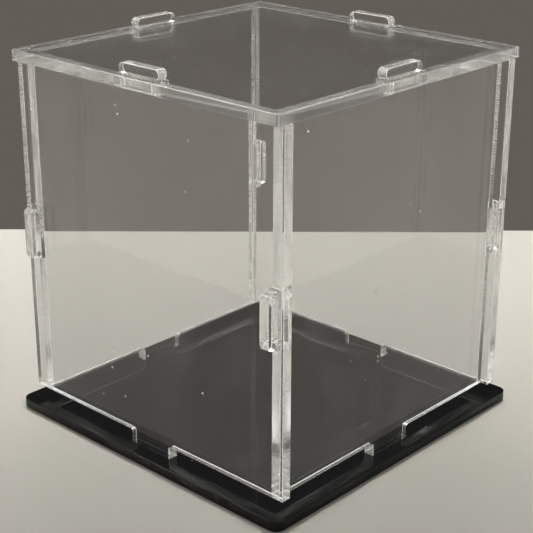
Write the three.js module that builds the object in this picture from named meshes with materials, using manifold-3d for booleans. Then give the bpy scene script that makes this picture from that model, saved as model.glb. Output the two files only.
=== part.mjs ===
// Acrylic display cube: a clear five-sided cover of tabbed sheets that stands over a black base plate.
// Millimetres, +Z up. The origin is the middle of the base plate's underside.
// The front panel faces -Y and the right panel faces +X.

import Module from 'manifold-3d';
import * as THREE from 'three';
import { mergeVertices } from 'three/addons/utils/BufferGeometryUtils.js';

// Sheets
const CLEAR_SHEET = 3.0;          // thickness of the clear panels
const BASE_SHEET = 2.8;           // thickness of the black base plate

// Panels
const PANEL_WIDTH = 100;          // front and back panels across, and the top panel both ways
const PANEL_HEIGHT = 100;         // all four upright panels, without their tabs
const SET_IN = 2.3;               // from a sheet's edge to the outer face of the panel it holds
const BASE_WIDTH = 105;
const BASE_CORNER_RADIUS = 3;
const TOP_CORNER_RADIUS = 1;

// Tabs and the slots that take them
const HEAD_LENGTH = 15;           // the round-ended head that stands out of a slot
const HEAD_DEPTH = 3;
const FOOT_LENGTH = 15;           // the straight foot under each upright panel
const FOOT_CORNER_RADIUS = 1;
const FOOT_FILLET = 0.8;          // inside corner between a foot and its panel's lower edge
const SLOT_LENGTH = 16;
const SLOT_PLAY = 0.2;            // between a slot's long side and the sheet in it
const BUTT_PLAY = 0.1;            // between the end of a side panel and the face it meets
const BASE_GAP = 3.5;             // open gap between the base plate and the panels' lower edges

// Worked out from the above
const HEAD_RADIUS = HEAD_DEPTH / 2;
const NECK_LENGTH = HEAD_LENGTH - 2 * HEAD_RADIUS;
const OUTER_FACE = PANEL_WIDTH / 2 - SET_IN;        // from the middle to a panel's outer face
const PANEL_MIDDLE = OUTER_FACE - CLEAR_SHEET / 2;  // from the middle to a panel's mid-plane
const INNER_FACE = OUTER_FACE - CLEAR_SHEET;
const SIDE_WIDTH = 2 * (INNER_FACE - BUTT_PLAY);    // left and right panels, between front and back
const PANEL_BOTTOM = BASE_SHEET + BASE_GAP;         // the feet reach through the base to z = 0
const PANEL_TOP = PANEL_BOTTOM + PANEL_HEIGHT;
const SLOT_WIDTH = CLEAR_SHEET + 2 * SLOT_PLAY;

const ARC_STEPS = 10;             // straight steps in each round stretch of an outline
const SAME_POINT = 1e-6;
const QUARTER = Math.PI / 2;

const clearAcrylic = () => new THREE.MeshStandardMaterial({
  color: 0xe9eeec, roughness: 0.04, metalness: 0, transparent: true, opacity: 0.35,
});
const blackAcrylic = () => new THREE.MeshStandardMaterial({ color: 0x0b0b0c, roughness: 0.06, metalness: 0 });

// A closed outline drawn anticlockwise, point by point, without doubled points.
class Outline {
  points = [];

  to(x, y) {
    const last = this.points.at(-1);
    if (!last || Math.hypot(x - last.x, y - last.y) > SAME_POINT) this.points.push(new THREE.Vector2(x, y));
  }

  arc([x, y], radius, from, sweep) {
    for (let step = 0; step <= ARC_STEPS; step += 1) {
      const angle = from + sweep * step / ARC_STEPS;
      this.to(x + radius * Math.cos(angle), y + radius * Math.sin(angle));
    }
  }
}

// One straight side of an outline. along() gives a point a distance past the side's middle and a
// distance out from it, and turn is the side's direction.
function side(middleX, middleY, turn) {
  const along = (distance, out) => [
    middleX + distance * Math.cos(turn) + out * Math.sin(turn),
    middleY + distance * Math.sin(turn) - out * Math.cos(turn),
  ];
  return { along, turn };
}

// A neck that fills the neighbour's slot, and past it a head with two half-round ends.
function addHeadTab(outline, { along, turn }, neckDepth) {
  const half = NECK_LENGTH / 2;
  const middleOut = neckDepth + HEAD_RADIUS;
  outline.to(...along(-half, 0));
  outline.arc(along(-half, middleOut), HEAD_RADIUS, turn + QUARTER, 2 * QUARTER);
  outline.arc(along(half, middleOut), HEAD_RADIUS, turn - QUARTER, 2 * QUARTER);
  outline.to(...along(half, 0));
}

// A straight foot with filleted roots and rounded lower corners.
function addFootTab(outline, { along, turn }, depth) {
  const root = FOOT_LENGTH / 2 + FOOT_FILLET;
  const corner = FOOT_LENGTH / 2 - FOOT_CORNER_RADIUS;
  const cornerOut = depth - FOOT_CORNER_RADIUS;
  outline.arc(along(-root, FOOT_FILLET), FOOT_FILLET, turn + QUARTER, -QUARTER);
  outline.arc(along(-corner, cornerOut), FOOT_CORNER_RADIUS, turn + 2 * QUARTER, QUARTER);
  outline.arc(along(corner, cornerOut), FOOT_CORNER_RADIUS, turn - QUARTER, QUARTER);
  outline.arc(along(root, FOOT_FILLET), FOOT_FILLET, turn + 2 * QUARTER, -QUARTER);
}

// An upright panel's outline, centred across, with its lower edge at 0: a foot below, a head above
// and, where sideNeck is given, a head at the middle of each side.
function uprightOutline(width, sideNeck) {
  const half = width / 2;
  const outline = new Outline();
  outline.to(-half, 0);
  addFootTab(outline, side(0, 0, 0), BASE_GAP + BASE_SHEET);
  outline.to(half, 0);
  if (sideNeck) addHeadTab(outline, side(half, PANEL_HEIGHT / 2, QUARTER), sideNeck);
  outline.to(half, PANEL_HEIGHT);
  addHeadTab(outline, side(0, PANEL_HEIGHT, 2 * QUARTER), CLEAR_SHEET);
  outline.to(-half, PANEL_HEIGHT);
  if (sideNeck) addHeadTab(outline, side(-half, PANEL_HEIGHT / 2, 3 * QUARTER), sideNeck);
  return new THREE.Shape(outline.points);
}

function roundedSquare(width, radius) {
  const inner = width / 2 - radius;
  const outline = new Outline();
  outline.arc([inner, -inner], radius, -QUARTER, QUARTER);
  outline.arc([inner, inner], radius, 0, QUARTER);
  outline.arc([-inner, inner], radius, QUARTER, QUARTER);
  outline.arc([-inner, -inner], radius, 2 * QUARTER, QUARTER);
  return new THREE.Shape(outline.points);
}

// A slot right through a sheet, as [middle x, middle y, size x, size y].
const slotAcross = (x, y) => [x, y, SLOT_LENGTH, SLOT_WIDTH];
const slotAlong = (x, y) => [x, y, SLOT_WIDTH, SLOT_LENGTH];

// The level plates take one tab of each upright panel, at the middle of each side. The front and
// back panels take a side tab of the left and the right panel, at mid-height.
const PLATE_SLOTS = [-1, 1].flatMap((sign) => [
  slotAcross(0, sign * PANEL_MIDDLE),
  slotAlong(sign * PANEL_MIDDLE, 0),
]);
const WIDE_PANEL_SLOTS = [-1, 1].map((sign) => slotAlong(sign * PANEL_MIDDLE, PANEL_HEIGHT / 2));

const wasm = await Module();
wasm.setup();

function toSolid(geometry) {
  geometry.deleteAttribute('normal');
  geometry.deleteAttribute('uv');
  const merged = mergeVertices(geometry);
  const vertProperties = new Float32Array(merged.attributes.position.array);
  const triVerts = new Uint32Array(merged.index.array);
  return new wasm.Manifold(new wasm.Mesh({ numProp: 3, vertProperties, triVerts }));
}

function toGeometry(solid) {
  const { vertProperties, triVerts } = solid.getMesh();
  const indexed = new THREE.BufferGeometry();
  indexed.setAttribute('position', new THREE.BufferAttribute(vertProperties, 3));
  indexed.setIndex(new THREE.BufferAttribute(triVerts, 1));
  const geometry = indexed.toNonIndexed();
  geometry.computeVertexNormals();
  return geometry;
}

// A sheet cut to an outline and slotted, with its mid-plane through the origin and its thickness along Z.
function sheet(name, outline, slots, thickness, material) {
  const blank = new THREE.ExtrudeGeometry(outline, { depth: thickness, bevelEnabled: false });
  let solid = toSolid(blank.translate(0, 0, -thickness / 2));
  for (const [x, y, sizeX, sizeY] of slots) {
    const cutter = new THREE.BoxGeometry(sizeX, sizeY, 2 * thickness);
    solid = solid.subtract(toSolid(cutter.translate(x, y, 0)));
  }
  const mesh = new THREE.Mesh(toGeometry(solid), material);
  mesh.name = name;
  return mesh;
}

function levelSheet(name, outline, thickness, bottom, material) {
  const mesh = sheet(name, outline, PLATE_SLOTS, thickness, material);
  mesh.position.z = bottom + thickness / 2;
  return mesh;
}

// Stands a panel up. With turn 0 its width runs along X, and with a quarter turn along Y.
function uprightSheet(name, outline, slots, x, y, turn) {
  const mesh = sheet(name, outline, slots, CLEAR_SHEET, clearAcrylic());
  mesh.rotation.set(QUARTER, 0, turn, 'ZYX');
  mesh.position.set(x, y, PANEL_BOTTOM);
  return mesh;
}

const baseOutline = roundedSquare(BASE_WIDTH, BASE_CORNER_RADIUS);
const topOutline = roundedSquare(PANEL_WIDTH, TOP_CORNER_RADIUS);
const wideOutline = uprightOutline(PANEL_WIDTH, 0);
const sideOutline = uprightOutline(SIDE_WIDTH, CLEAR_SHEET + BUTT_PLAY);

const displayCube = new THREE.Group();
displayCube.add(
  levelSheet('base_plate', baseOutline, BASE_SHEET, 0, blackAcrylic()),
  levelSheet('top_panel', topOutline, CLEAR_SHEET, PANEL_TOP, clearAcrylic()),
  uprightSheet('front_panel', wideOutline, WIDE_PANEL_SLOTS, 0, -PANEL_MIDDLE, 0),
  uprightSheet('back_panel', wideOutline, WIDE_PANEL_SLOTS, 0, PANEL_MIDDLE, 0),
  uprightSheet('left_panel', sideOutline, [], -PANEL_MIDDLE, 0, QUARTER),
  uprightSheet('right_panel', sideOutline, [], PANEL_MIDDLE, 0, QUARTER),
);

export default displayCube;
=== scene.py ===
import math

import bpy
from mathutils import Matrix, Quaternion, Vector
from mathutils.geometry import tessellate_polygon


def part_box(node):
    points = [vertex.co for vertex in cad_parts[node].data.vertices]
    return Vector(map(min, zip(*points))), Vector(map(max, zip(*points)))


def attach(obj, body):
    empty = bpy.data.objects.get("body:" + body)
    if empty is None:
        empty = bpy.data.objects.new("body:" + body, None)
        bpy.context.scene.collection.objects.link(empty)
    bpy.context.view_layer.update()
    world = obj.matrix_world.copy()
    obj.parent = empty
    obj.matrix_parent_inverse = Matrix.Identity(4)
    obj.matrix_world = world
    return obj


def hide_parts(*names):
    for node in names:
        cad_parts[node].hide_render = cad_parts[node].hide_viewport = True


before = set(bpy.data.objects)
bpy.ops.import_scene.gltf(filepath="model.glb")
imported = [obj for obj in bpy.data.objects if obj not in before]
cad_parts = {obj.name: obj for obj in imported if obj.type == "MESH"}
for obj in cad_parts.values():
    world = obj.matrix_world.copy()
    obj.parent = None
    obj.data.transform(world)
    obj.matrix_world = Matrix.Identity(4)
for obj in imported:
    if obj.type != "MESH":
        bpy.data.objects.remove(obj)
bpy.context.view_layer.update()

MM = 0.001

# Tabs and slots, as in the CAD
HEAD_LENGTH = 15 * MM
HEAD_DEPTH = 3 * MM
FOOT_LENGTH = 15 * MM
FOOT_CORNER_RADIUS = 1 * MM
FOOT_FILLET = 0.8 * MM
SLOT_LENGTH = 16 * MM
SLOT_PLAY = 0.2 * MM
BUTT_PLAY = 0.1 * MM
BASE_GAP = 3.5 * MM
BASE_CORNER_RADIUS = 3 * MM
TOP_CORNER_RADIUS = 1 * MM

# What the CAD leaves out: how a laser cut really ends
ARRIS_RADIUS = 0.16 * MM
CUT_CORNER_RADIUS = 0.12 * MM
SLOT_CORNER_RADIUS = 0.3 * MM
LID_SEAT_GAP = 0.05 * MM
ARRIS_STEPS = 3
STEPS_PER_QUARTER = 12
STEPS_ON_SMALL_CORNER = 3
SMALL_CORNER = 0.5 * MM
SAME_POINT = 1e-8

# Material slots of every sheet
FACE, CUT, ARRIS = 0, 1, 2

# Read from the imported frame
base_low, base_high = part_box("base_plate")
lid_low, lid_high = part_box("top_panel")
front_low, front_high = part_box("front_panel")
left_low, left_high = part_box("left_panel")
BASE_SHEET = base_high.z - base_low.z
CLEAR_SHEET = lid_high.z - lid_low.z
PANEL_BOTTOM = base_high.z + BASE_GAP
PANEL_HEIGHT = lid_low.z - PANEL_BOTTOM
PANEL_MIDDLE = (front_high.y + front_low.y) / -2
SLOT_WIDTH = CLEAR_SHEET + 2 * SLOT_PLAY
WIDE_WIDTH = front_high.x - front_low.x
SIDE_TAB_REACH = left_high.y - HEAD_DEPTH
SIDE_WIDTH = 2 * (PANEL_MIDDLE - CLEAR_SHEET / 2 - BUTT_PLAY)


# ---------------------------------------------------------------- outlines

def rounded(corners):
    """Points of a closed outline from its corners, each (x, y, radius)."""
    points = []
    for i, (x, y, radius) in enumerate(corners):
        here = Vector((x, y))
        if radius == 0:
            points.append(here)
            continue
        before = (Vector(corners[i - 1][:2]) - here).normalized()
        after = (Vector(corners[(i + 1) % len(corners)][:2]) - here).normalized()
        half = before.angle(after) / 2
        middle = here + (before + after).normalized() * radius / math.sin(half)
        first = here + before * radius / math.tan(half) - middle
        turn = -first.angle_signed(here + after * radius / math.tan(half) - middle)
        steps = STEPS_PER_QUARTER if radius > SMALL_CORNER else STEPS_ON_SMALL_CORNER
        for step in range(steps + 1):
            angle = turn * step / steps
            c, s = math.cos(angle), math.sin(angle)
            points.append(middle + Vector((first.x * c - first.y * s, first.x * s + first.y * c)))
    return [p for i, p in enumerate(points) if (p - points[i - 1]).length > SAME_POINT]


def placed(corners, origin, turn):
    """Corners drawn along a side, moved to that side's middle and turned to its direction."""
    c, s = math.cos(turn), math.sin(turn)
    return [(origin[0] + x * c - y * s, origin[1] + x * s + y * c, r) for x, y, r in corners]


def head_tab(neck):
    """A tab on a side that runs along +x with the sheet above it: its head lies below y = -neck."""
    half_neck = HEAD_LENGTH / 2 - HEAD_DEPTH / 2
    half_head = HEAD_LENGTH / 2
    radius = HEAD_DEPTH / 2
    return [
        (-half_neck, 0, CUT_CORNER_RADIUS),
        (-half_neck, -neck, 0),
        (-half_head, -neck, radius),
        (-half_head, -neck - HEAD_DEPTH, radius),
        (half_head, -neck - HEAD_DEPTH, radius),
        (half_head, -neck, radius),
        (half_neck, -neck, 0),
        (half_neck, 0, CUT_CORNER_RADIUS),
    ]


def foot_tab(depth):
    """A straight foot below a side that runs along +x, with filleted roots and rounded corners."""
    half = FOOT_LENGTH / 2
    return [
        (-half, 0, FOOT_FILLET),
        (-half, -depth, FOOT_CORNER_RADIUS),
        (half, -depth, FOOT_CORNER_RADIUS),
        (half, 0, FOOT_FILLET),
    ]


def upright_outline(width, side_reach):
    """An upright panel, its lower edge at y = 0. side_reach is where the side heads begin, or 0."""
    half = width / 2
    height = PANEL_HEIGHT - LID_SEAT_GAP
    side_tab = head_tab(side_reach - half) if side_reach else []
    corners = [(-half, 0, CUT_CORNER_RADIUS)]
    corners += foot_tab(PANEL_BOTTOM)
    corners += [(half, 0, CUT_CORNER_RADIUS)]
    corners += placed(side_tab, (half, PANEL_HEIGHT / 2), math.pi / 2)
    corners += [(half, height, CUT_CORNER_RADIUS)]
    corners += placed(head_tab(CLEAR_SHEET + LID_SEAT_GAP), (0, height), math.pi)
    corners += [(-half, height, CUT_CORNER_RADIUS)]
    corners += placed(side_tab, (-half, PANEL_HEIGHT / 2), -math.pi / 2)
    return rounded(corners)


def box_outline(x, y, size_x, size_y, radius):
    right, top = size_x / 2, size_y / 2
    corners = [(-right, -top), (right, -top), (right, top), (-right, top)]
    return rounded([(x + a, y + b, radius) for a, b in corners])


def slot_across(x, y):
    return box_outline(x, y, SLOT_LENGTH, SLOT_WIDTH, SLOT_CORNER_RADIUS)


def slot_along(x, y):
    return box_outline(x, y, SLOT_WIDTH, SLOT_LENGTH, SLOT_CORNER_RADIUS)


# ---------------------------------------------------------------- sheets

def inset(points, distance):
    """The outline moved into the sheet. Outer outlines run anticlockwise and slots clockwise."""
    moved = []
    for i, here in enumerate(points):
        a = (here - points[i - 1]).normalized()
        b = (points[(i + 1) % len(points)] - here).normalized()
        inward_a, inward_b = Vector((-a.y, a.x)), Vector((-b.y, b.x))
        moved.append(here + (inward_a + inward_b) * distance / (1 + inward_a.dot(inward_b)))
    return moved


def arris_profile(thickness):
    """(inset, height) from the top face down the cut edge to the bottom face."""
    half = thickness / 2
    top = []
    for step in range(ARRIS_STEPS + 1):
        angle = math.pi / 2 * step / ARRIS_STEPS
        inward = ARRIS_RADIUS * (1 - math.sin(angle))
        top.append((inward, half - ARRIS_RADIUS * (1 - math.cos(angle))))
    return top + [(inward, -height) for inward, height in reversed(top)]


def ring_edges(start, count, ring):
    """The vertex pairs round one ring of a loop whose rings begin at vertex start."""
    first = start + ring * count
    return [(first + i, first + (i + 1) % count) for i in range(count)]


def sheet(name, outer, slots, thickness, origin, across, up, materials):
    """A flat sheet with softened arrises, its materials in the order FACE, CUT, ARRIS.

    The attribute cut_run is the distance travelled along the cut, for the ripple."""
    across, up = Vector(across), Vector(up)
    normal = across.cross(up)
    loops = [outer] + [list(reversed(s)) for s in slots]
    profile = arris_profile(thickness)
    vertices, faces, face_kind, runs = [], [], [], []
    last_ring = len(profile) - 1
    caps = {0: [], last_ring: []}
    sharp = set()
    for loop in loops:
        count = len(loop)
        length = [0.0]
        for i in range(count):
            length.append(length[-1] + (loop[(i + 1) % count] - loop[i]).length)
        start = len(vertices)
        for inward, height in profile:
            for p in inset(loop, inward):
                vertices.append(Vector(origin) + across * p.x + up * p.y + normal * height)
        for ring in range(last_ring):
            for i, (a, b) in enumerate(ring_edges(start, count, ring)):
                faces.append((a, a + count, b + count, b))
                face_kind.append(CUT if ring == ARRIS_STEPS else ARRIS)
                runs.append((length[i], length[i], length[i + 1], length[i + 1]))
        for ring in (0, ARRIS_STEPS, ARRIS_STEPS + 1, last_ring):
            sharp.update(frozenset(edge) for edge in ring_edges(start, count, ring))
        for ring in caps:
            caps[ring].append([start + ring * count + i for i in range(count)])
    flat = {}
    for loop_ids in caps[0]:
        for v in loop_ids:
            offset = vertices[v] - Vector(origin)
            flat[v] = Vector((offset.dot(across), offset.dot(up), 0))
    triangles = tessellate_polygon([[flat[v] for v in ids] for ids in caps[0]])
    top_ids = [v for loop_ids in caps[0] for v in loop_ids]
    for ring, rings in caps.items():
        ids = [v for loop_ids in rings for v in loop_ids]
        for tri in triangles:
            a, b, c = (flat[top_ids[i]] for i in tri)
            upward = (b - a).cross(c - a).z > 0
            order = tri if upward == (ring == 0) else tuple(reversed(tri))
            faces.append(tuple(ids[i] for i in order))
            face_kind.append(FACE)
            runs.append((0.0, 0.0, 0.0))
    mesh = bpy.data.meshes.new(name)
    mesh.from_pydata(vertices, [], faces)
    for polygon, kind in zip(mesh.polygons, face_kind):
        polygon.material_index = kind
        polygon.use_smooth = kind != FACE
    along = mesh.attributes.new("cut_run", "FLOAT", "CORNER")
    along.data.foreach_set("value", [v for run in runs for v in run])
    for edge in mesh.edges:
        if frozenset(edge.vertices) in sharp:
            edge.use_edge_sharp = True
    mesh.update()
    mesh.validate()
    for material in materials:
        mesh.materials.append(material)
    piece = bpy.data.objects.new(name, mesh)
    bpy.context.scene.collection.objects.link(piece)
    return piece


# ---------------------------------------------------------------- shader helpers

def add(tree, kind, inputs=None, **settings):
    made = tree.nodes.new(kind)
    for name, value in settings.items():
        setattr(made, name, value)
    for name, value in (inputs or {}).items():
        if isinstance(value, bpy.types.NodeSocket):
            tree.links.new(value, made.inputs[name])
        else:
            made.inputs[name].default_value = value
    return made


def math_node(tree, operation, a, b=0.0, clamp=False):
    return add(tree, "ShaderNodeMath", {0: a, 1: b}, operation=operation, use_clamp=clamp).outputs[0]


def times_plus(tree, value, factor, addend, clamp=False):
    inputs = {0: value, 1: factor, 2: addend}
    return add(tree, "ShaderNodeMath", inputs, operation="MULTIPLY_ADD", use_clamp=clamp).outputs[0]


def mix_colour(tree, factor, first, second):
    inputs = {0: factor, 6: (*first, 1), 7: (*second, 1)}
    return add(tree, "ShaderNodeMix", inputs, data_type="RGBA").outputs[2]


def remap(tree, value, low, high, to_low=0.0, to_high=1.0):
    inputs = {"Value": value, "From Min": low, "From Max": high, "To Min": to_low, "To Max": to_high}
    return add(tree, "ShaderNodeMapRange", inputs, interpolation_type="SMOOTHSTEP").outputs["Result"]


def noise(tree, coords, scale, detail=2.0, distortion=0.0):
    inputs = {"Vector": coords, "Scale": scale, "Detail": detail, "Distortion": distortion}
    return add(tree, "ShaderNodeTexNoise", inputs).outputs["Fac"]


def specks(tree, coords, per_metre, radius, share):
    """Small round specks: one to a cell, of mixed size, in a share of the cells."""
    cell = add(tree, "ShaderNodeTexVoronoi", {"Vector": coords, "Scale": per_metre})
    chance = add(tree, "ShaderNodeSeparateColor", {"Color": cell.outputs["Color"]})
    size = math_node(tree, "MULTIPLY", chance.outputs["Green"], radius * per_metre)
    inside = math_node(tree, "LESS_THAN", cell.outputs["Distance"], size)
    kept = math_node(tree, "LESS_THAN", chance.outputs["Red"], share)
    return math_node(tree, "MULTIPLY", inside, kept)


def hairlines(tree, coords, turn, width):
    """Fine long scratches: the level lines of a noise stretched along one direction."""
    turned = add(tree, "ShaderNodeMapping", {"Vector": coords, "Rotation": turn, "Scale": (90, 6, 90)})
    level = noise(tree, turned.outputs[0], 1.0, 1.0)
    away = math_node(tree, "ABSOLUTE", math_node(tree, "SUBTRACT", level, 0.5))
    return remap(tree, away, 0.0, width, 1.0, 0.0)


def new_material(name):
    material = bpy.data.materials.new(name)
    material.use_nodes = True
    material.node_tree.nodes.clear()
    return material, material.node_tree


def finish_material(tree, shader, lets_lamps_through):
    """Lamps reach what is behind a clear sheet, as they do through thin acrylic."""
    out = shader
    if lets_lamps_through:
        path = add(tree, "ShaderNodeLightPath")
        clear = add(tree, "ShaderNodeBsdfTransparent", {"Color": (0.962, 0.965, 0.961, 1)})
        for ray in ("Is Diffuse Ray", "Is Shadow Ray"):
            inputs = {0: path.outputs[ray], 1: out, 2: clear.outputs[0]}
            out = add(tree, "ShaderNodeMixShader", inputs).outputs[0]
    add(tree, "ShaderNodeOutputMaterial", {"Surface": out})


# ---------------------------------------------------------------- materials

ACRYLIC_IOR = 1.49
BLACK_SPECULAR = 0.3      # below the 0.5 of plain acrylic, for the photo's very dark rim


def clear_face():
    """Polished cast acrylic: nearly perfect, with a film of dust, finger smears and hairline scratches."""
    material, tree = new_material("clear_acrylic_face")
    coords = add(tree, "ShaderNodeTexCoord").outputs["Object"]
    smear = remap(tree, noise(tree, coords, 38, 3, 1.2), 0.52, 0.72)
    haze = remap(tree, noise(tree, coords, 14, 4), 0.3, 0.8)
    dust = specks(tree, coords, 190, 0.00032, 0.4)
    grains = specks(tree, coords, 520, 0.00012, 0.5)
    lines = math_node(
        tree, "ADD",
        hairlines(tree, coords, (0.4, 0.9, 0.3), 0.0022),
        hairlines(tree, coords, (1.2, 0.2, 2.1), 0.0016),
        clamp=True,
    )
    sparse = remap(tree, noise(tree, coords, 25, 1), 0.5, 0.6)
    scratch = math_node(tree, "MULTIPLY", lines, sparse)
    film = times_plus(tree, haze, 0.012, 0.003)
    smeared = times_plus(tree, smear, 0.012, film)
    specked = times_plus(tree, dust, 0.55, smeared)
    grained = times_plus(tree, grains, 0.3, specked)
    marked = times_plus(tree, scratch, 0.10, grained)
    outside = math_node(tree, "SUBTRACT", 1.0, add(tree, "ShaderNodeNewGeometry").outputs["Backfacing"])
    clearness = math_node(tree, "SUBTRACT", 1.0, math_node(tree, "MULTIPLY", marked, outside), clamp=True)
    rough = math_node(tree, "MULTIPLY", math_node(tree, "MULTIPLY", smear, 0.05), outside)
    wave = noise(tree, coords, 30, 1)
    bump = add(tree, "ShaderNodeBump", {"Height": wave, "Strength": 0.02, "Distance": 0.0004})
    tone = mix_colour(tree, haze, (0.985, 0.99, 0.986), (0.97, 0.975, 0.972))
    shader = add(tree, "ShaderNodeBsdfPrincipled", {
        "Base Color": tone,
        "Transmission Weight": clearness,
        "Roughness": rough,
        "IOR": ACRYLIC_IOR,
        "Normal": bump.outputs[0],
    })
    finish_material(tree, shader.outputs[0], True)
    return material


def cut_ripple(tree):
    """Marks the laser leaves across a cut edge: fine ridges of uneven pitch and depth."""
    run = add(tree, "ShaderNodeAttribute", attribute_name="cut_run").outputs["Fac"]
    settings = {"W": run, "Scale": 1 / (0.5 * MM), "Detail": 1.5, "Roughness": 0.6}
    return add(tree, "ShaderNodeTexNoise", settings, noise_dimensions="1D").outputs["Fac"]


def clear_cut(name, frost_low, frost_high, bump_strength):
    """A laser-cut edge of a clear sheet: clear with fine ripples, and a share of white frost."""
    material, tree = new_material(name)
    coords = add(tree, "ShaderNodeTexCoord").outputs["Object"]
    ripple = cut_ripple(tree)
    patch = noise(tree, coords, 40, 1)
    ridge = math_node(tree, "MULTIPLY", ripple, math_node(tree, "ADD", patch, 0.5))
    frost = remap(tree, ridge, 0.3, 0.7, frost_low, frost_high)
    clearness = math_node(tree, "SUBTRACT", 1.0, frost)
    rough = remap(tree, ripple, 0.3, 0.7, 0.03, 0.12)
    tone = mix_colour(tree, patch, (0.99, 0.992, 0.99), (0.975, 0.977, 0.97))
    bump = add(tree, "ShaderNodeBump", {"Height": ripple, "Strength": bump_strength, "Distance": 0.0001})
    shader = add(tree, "ShaderNodeBsdfPrincipled", {
        "Base Color": tone,
        "Transmission Weight": clearness,
        "Roughness": rough,
        "IOR": ACRYLIC_IOR,
        "Normal": bump.outputs[0],
    })
    finish_material(tree, shader.outputs[0], True)
    return material


def black_face():
    """Gloss black acrylic, mirror smooth, with dust and faint smears."""
    material, tree = new_material("black_acrylic_face")
    coords = add(tree, "ShaderNodeTexCoord").outputs["Object"]
    smear = remap(tree, noise(tree, coords, 45, 4, 1.5), 0.5, 0.75)
    dust = specks(tree, coords, 230, 0.00028, 0.35)
    grains = specks(tree, coords, 700, 0.0001, 0.5)
    settled = times_plus(tree, dust, 0.8, math_node(tree, "MULTIPLY", grains, 0.35))
    film = times_plus(tree, smear, 0.005, settled, clamp=True)
    tone = mix_colour(tree, film, (0.002, 0.002, 0.0021), (0.42, 0.41, 0.39))
    rough = times_plus(tree, smear, 0.07, 0.02)
    wave = noise(tree, coords, 22, 1)
    bump = add(tree, "ShaderNodeBump", {"Height": wave, "Strength": 0.03, "Distance": 0.0005})
    shader = add(tree, "ShaderNodeBsdfPrincipled", {
        "Base Color": tone,
        "Roughness": rough,
        "IOR": ACRYLIC_IOR,
        "Specular IOR Level": BLACK_SPECULAR,
        "Normal": bump.outputs[0],
    })
    finish_material(tree, shader.outputs[0], False)
    return material


def black_cut():
    """A laser-cut edge of the black sheet: satin, with the same ripples."""
    material, tree = new_material("black_acrylic_cut")
    coords = add(tree, "ShaderNodeTexCoord").outputs["Object"]
    ripple = cut_ripple(tree)
    tone = mix_colour(tree, noise(tree, coords, 80, 3), (0.008, 0.008, 0.008), (0.02, 0.02, 0.019))
    rough = remap(tree, ripple, 0.2, 1.0, 0.14, 0.3)
    bump = add(tree, "ShaderNodeBump", {"Height": ripple, "Strength": 0.4, "Distance": 0.00006})
    shader = add(tree, "ShaderNodeBsdfPrincipled", {
        "Base Color": tone,
        "Roughness": rough,
        "IOR": ACRYLIC_IOR,
        "Specular IOR Level": BLACK_SPECULAR,
        "Normal": bump.outputs[0],
    })
    finish_material(tree, shader.outputs[0], False)
    return material


# ---------------------------------------------------------------- pieces

polished = clear_face()
arris = clear_cut("clear_acrylic_arris", 0.22, 0.4, 0.25)
clear_wall = [polished, clear_cut("clear_acrylic_cut", 0.02, 0.10, 0.35), arris]
clear_lid = [
    polished,
    clear_cut("clear_acrylic_fine_cut", 0.01, 0.06, 0.3),
    clear_cut("clear_acrylic_fine_arris", 0.10, 0.20, 0.25),
]
black_edge = black_cut()
black = [black_face(), black_edge, black_edge]

plate_slots = []
for sign in (-1, 1):
    plate_slots.append(slot_across(0, sign * PANEL_MIDDLE))
    plate_slots.append(slot_along(sign * PANEL_MIDDLE, 0))
wide_slots = [slot_along(sign * PANEL_MIDDLE, PANEL_HEIGHT / 2) for sign in (-1, 1)]

base_outline = box_outline(0, 0, base_high.x - base_low.x, base_high.y - base_low.y, BASE_CORNER_RADIUS)
lid_outline = box_outline(0, 0, lid_high.x - lid_low.x, lid_high.y - lid_low.y, TOP_CORNER_RADIUS)
wide_outline = upright_outline(WIDE_WIDTH, 0)
side_outline = upright_outline(SIDE_WIDTH, SIDE_TAB_REACH)

X, Y, Z = (1, 0, 0), (0, 1, 0), (0, 0, 1)
base_middle = (0, 0, base_low.z + BASE_SHEET / 2)
lid_middle = (0, 0, lid_low.z + CLEAR_SHEET / 2)

pieces = {
    "base_plate": sheet("black_base", base_outline, plate_slots, BASE_SHEET, base_middle, X, Y, black),
    "top_panel": sheet("clear_top", lid_outline, plate_slots, CLEAR_SHEET, lid_middle, X, Y, clear_lid),
}
for name, outline, slots, place, across in (
    ("front", wide_outline, wide_slots, (0, -PANEL_MIDDLE, PANEL_BOTTOM), X),
    ("back", wide_outline, wide_slots, (0, PANEL_MIDDLE, PANEL_BOTTOM), X),
    ("left", side_outline, [], (-PANEL_MIDDLE, 0, PANEL_BOTTOM), Y),
    ("right", side_outline, [], (PANEL_MIDDLE, 0, PANEL_BOTTOM), Y),
):
    made = sheet("clear_" + name, outline, slots, CLEAR_SHEET, place, across, Z, clear_wall)
    pieces[name + "_panel"] = made

BODY = {"base_plate": "base", "top_panel": "lid"}
for node_name, piece in pieces.items():
    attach(piece, BODY.get(node_name, "walls"))
    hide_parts(node_name)

# ---------------------------------------------------------------- stage, light and camera

CAMERA_AIM = Vector((0, 0, 0.0443))
CAMERA_DISTANCE = 0.396
CAMERA_AZIMUTH = math.radians(42.855)
CAMERA_ELEVATION = math.radians(21.577)
CAMERA_ROLL = math.radians(0.15)
CAMERA_LENS = 90.91
SENSOR = 36

towards = Vector((math.sin(CAMERA_AZIMUTH), -math.cos(CAMERA_AZIMUTH), 0))
sideways = Vector((math.cos(CAMERA_AZIMUTH), math.sin(CAMERA_AZIMUTH), 0))


def stage_material(name, colour, roughness):
    material, tree = new_material(name)
    coords = add(tree, "ShaderNodeTexCoord").outputs["Object"]
    shade = remap(tree, noise(tree, coords, 6, 3), 0.3, 0.7, 0.97, 1.0)
    tone = mix_colour(tree, shade, (0, 0, 0), colour)
    shader = add(tree, "ShaderNodeBsdfPrincipled", {
        "Base Color": tone, "Roughness": roughness, "Specular IOR Level": 0.15,
    })
    finish_material(tree, shader.outputs[0], False)
    return material


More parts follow.
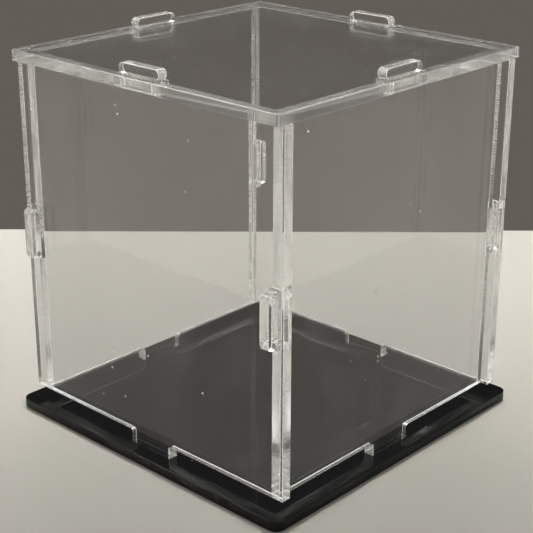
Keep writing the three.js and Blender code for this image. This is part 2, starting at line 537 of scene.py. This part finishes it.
TABLE_BACK = 0.153
TABLE_FRONT = 0.60
TABLE_HALF_WIDTH = 0.60
TABLE_THICKNESS = 0.025
TABLE_CORNER_RADIUS = 0.03
table_outline = box_outline(0, 0, 2 * TABLE_HALF_WIDTH, TABLE_BACK + TABLE_FRONT, TABLE_CORNER_RADIUS)
table_middle = towards * (TABLE_FRONT - TABLE_BACK) / 2 + Vector((0, 0, -TABLE_THICKNESS / 2))
pale = stage_material("pale_table", (0.70, 0.672, 0.615), 0.5)
pale_sheet = [pale, pale, pale]
table = sheet("floor", table_outline, [], TABLE_THICKNESS, table_middle, sideways, -towards, pale_sheet)


CUBE_MIDDLE = (0, 0, 0.05)
WARM = (1.0, 0.985, 0.95)
WARMER = (1.0, 0.985, 0.945)
CREAM = (1.0, 0.975, 0.90)
NEUTRAL = (1.0, 0.99, 0.96)
COOL = (0.97, 0.98, 1.0)
BACK_SPREAD = math.radians(28)
CARD_FADE = 0.45          # share of the softbox's width over which its light fades to its rim


def area_light(name, place, aim, width, height, power, colour):
    light = bpy.data.lights.new(name, "AREA")
    light.shape = "RECTANGLE"
    light.size = width
    light.size_y = height
    light.energy = power
    light.color = colour
    lamp = bpy.data.objects.new(name, light)
    lamp.location = place
    lamp.rotation_mode = "QUATERNION"
    lamp.visible_camera = False
    lamp.rotation_quaternion = (Vector(aim) - Vector(place)).to_track_quat("-Z", "Y")
    bpy.context.scene.collection.objects.link(lamp)
    return lamp


def soften_edges(lamp, margin):
    """A softbox whose light fades towards its rim, so its mirror image has no hard edge."""
    lamp.data.use_nodes = True
    tree = lamp.data.node_tree
    tree.nodes.clear()
    where = add(tree, "ShaderNodeNewGeometry").outputs["Parametric"]
    across = add(tree, "ShaderNodeSeparateXYZ", {"Vector": where})
    level = 1.0
    for axis in ("X", "Y"):
        from_one_side = across.outputs[axis]
        from_other_side = math_node(tree, "SUBTRACT", 1.0, from_one_side)
        nearest = math_node(tree, "MINIMUM", from_one_side, from_other_side)
        level = math_node(tree, "MULTIPLY", level, remap(tree, nearest, 0.0, margin))
    glow = add(tree, "ShaderNodeEmission", {"Strength": level})
    add(tree, "ShaderNodeOutputLight", {"Surface": glow.outputs[0]})


def stage_point(side, forward, up):
    """A place in metres: to the camera's right, towards the camera, and up from the table."""
    return sideways * side + towards * forward + Vector((0, 0, up))


area_light("key", stage_point(-0.55, -0.38, 0.82), CUBE_MIDDLE, 0.16, 0.16, 1.1, WARM)
area_light("fill", stage_point(0.75, 0.35, 0.7), CUBE_MIDDLE, 0.5, 0.7, 0.5, COOL)

# A narrow beam on the far part of the table. It shows in no reflection.
far_table = stage_point(0, -0.16, 0)
back_lamp = area_light("back", stage_point(0.0, -0.55, 0.85), far_table, 1.0, 0.35, 1.2, WARMER)
back_lamp.data.spread = BACK_SPREAD
back_lamp.visible_glossy = False
back_lamp.visible_transmission = False

# A softbox for highlights alone.
card = area_light("card", stage_point(-0.05, -0.60, 0.80), CUBE_MIDDLE, 1.4, 0.7, 11, NEUTRAL)
card.visible_diffuse = False
soften_edges(card, CARD_FADE)

# Soft light from all round that only the clear sheets take, so that frosted edges and dust show white.
clear_sheets = bpy.data.collections.new("clear_sheets")
for node_name, piece in pieces.items():
    if node_name != "base_plate":
        clear_sheets.objects.link(piece)
for name, side, forward in (("west", -0.5, 0.4), ("east", 0.5, 0.4), ("north", 0.0, -0.6)):
    place = stage_point(side, forward, 0.42)
    ring_lamp = area_light("edge_" + name, place, CUBE_MIDDLE, 0.5, 0.5, 7.0, CREAM)
    ring_lamp.visible_glossy = False
    ring_lamp.visible_transmission = False
    ring_lamp.light_linking.receiver_collection = clear_sheets

ROOM_LOW = (0.125, 0.110, 0.096)
ROOM_MIDDLE = (0.035, 0.033, 0.031)
ROOM_ABOVE = (0.25, 0.25, 0.25)

world = bpy.data.worlds.new("soft_room")
bpy.context.scene.world = world
world.use_nodes = True
tree = world.node_tree
tree.nodes.clear()
direction = add(tree, "ShaderNodeTexCoord").outputs["Generated"]
height = add(tree, "ShaderNodeSeparateXYZ", {"Vector": direction}).outputs["Z"]
ramp = add(tree, "ShaderNodeValToRGB", {"Fac": remap(tree, height, -0.5, 1.0)})
ramp.color_ramp.elements[0].position = 0.15
ramp.color_ramp.elements[0].color = (*ROOM_LOW, 1)
ramp.color_ramp.elements[1].position = 0.6
ramp.color_ramp.elements[1].color = (*ROOM_MIDDLE, 1)
above = ramp.color_ramp.elements.new(0.95)
above.color = (*ROOM_ABOVE, 1)
glow = add(tree, "ShaderNodeBackground", {"Color": ramp.outputs["Color"], "Strength": 1.0})
add(tree, "ShaderNodeOutputWorld", {"Surface": glow.outputs[0]})

to_camera = towards * math.cos(CAMERA_ELEVATION) + Vector((0, 0, math.sin(CAMERA_ELEVATION)))
camera_data = bpy.data.cameras.new("camera")
camera_data.lens = CAMERA_LENS
camera_data.sensor_width = SENSOR
camera_data.clip_start = 0.01
camera = bpy.data.objects.new("camera", camera_data)
camera.location = CAMERA_AIM + to_camera * CAMERA_DISTANCE
camera.rotation_mode = "QUATERNION"
camera.rotation_quaternion = (-to_camera).to_track_quat("-Z", "Y") @ Quaternion((0, 0, 1), CAMERA_ROLL)
bpy.context.scene.collection.objects.link(camera)
bpy.context.scene.camera = camera

GUIDED_BOUNCES = 48       # light runs the length of a sheet by bouncing between its faces

scene = bpy.context.scene
scene.view_settings.view_transform = "Standard"
scene.cycles.max_bounces = GUIDED_BOUNCES
scene.cycles.transmission_bounces = GUIDED_BOUNCES
scene.cycles.glossy_bounces = GUIDED_BOUNCES
scene.cycles.transparent_max_bounces = GUIDED_BOUNCES
scene.cycles.diffuse_bounces = 4
scene.cycles.caustics_reflective = False
scene.cycles.caustics_refractive = False
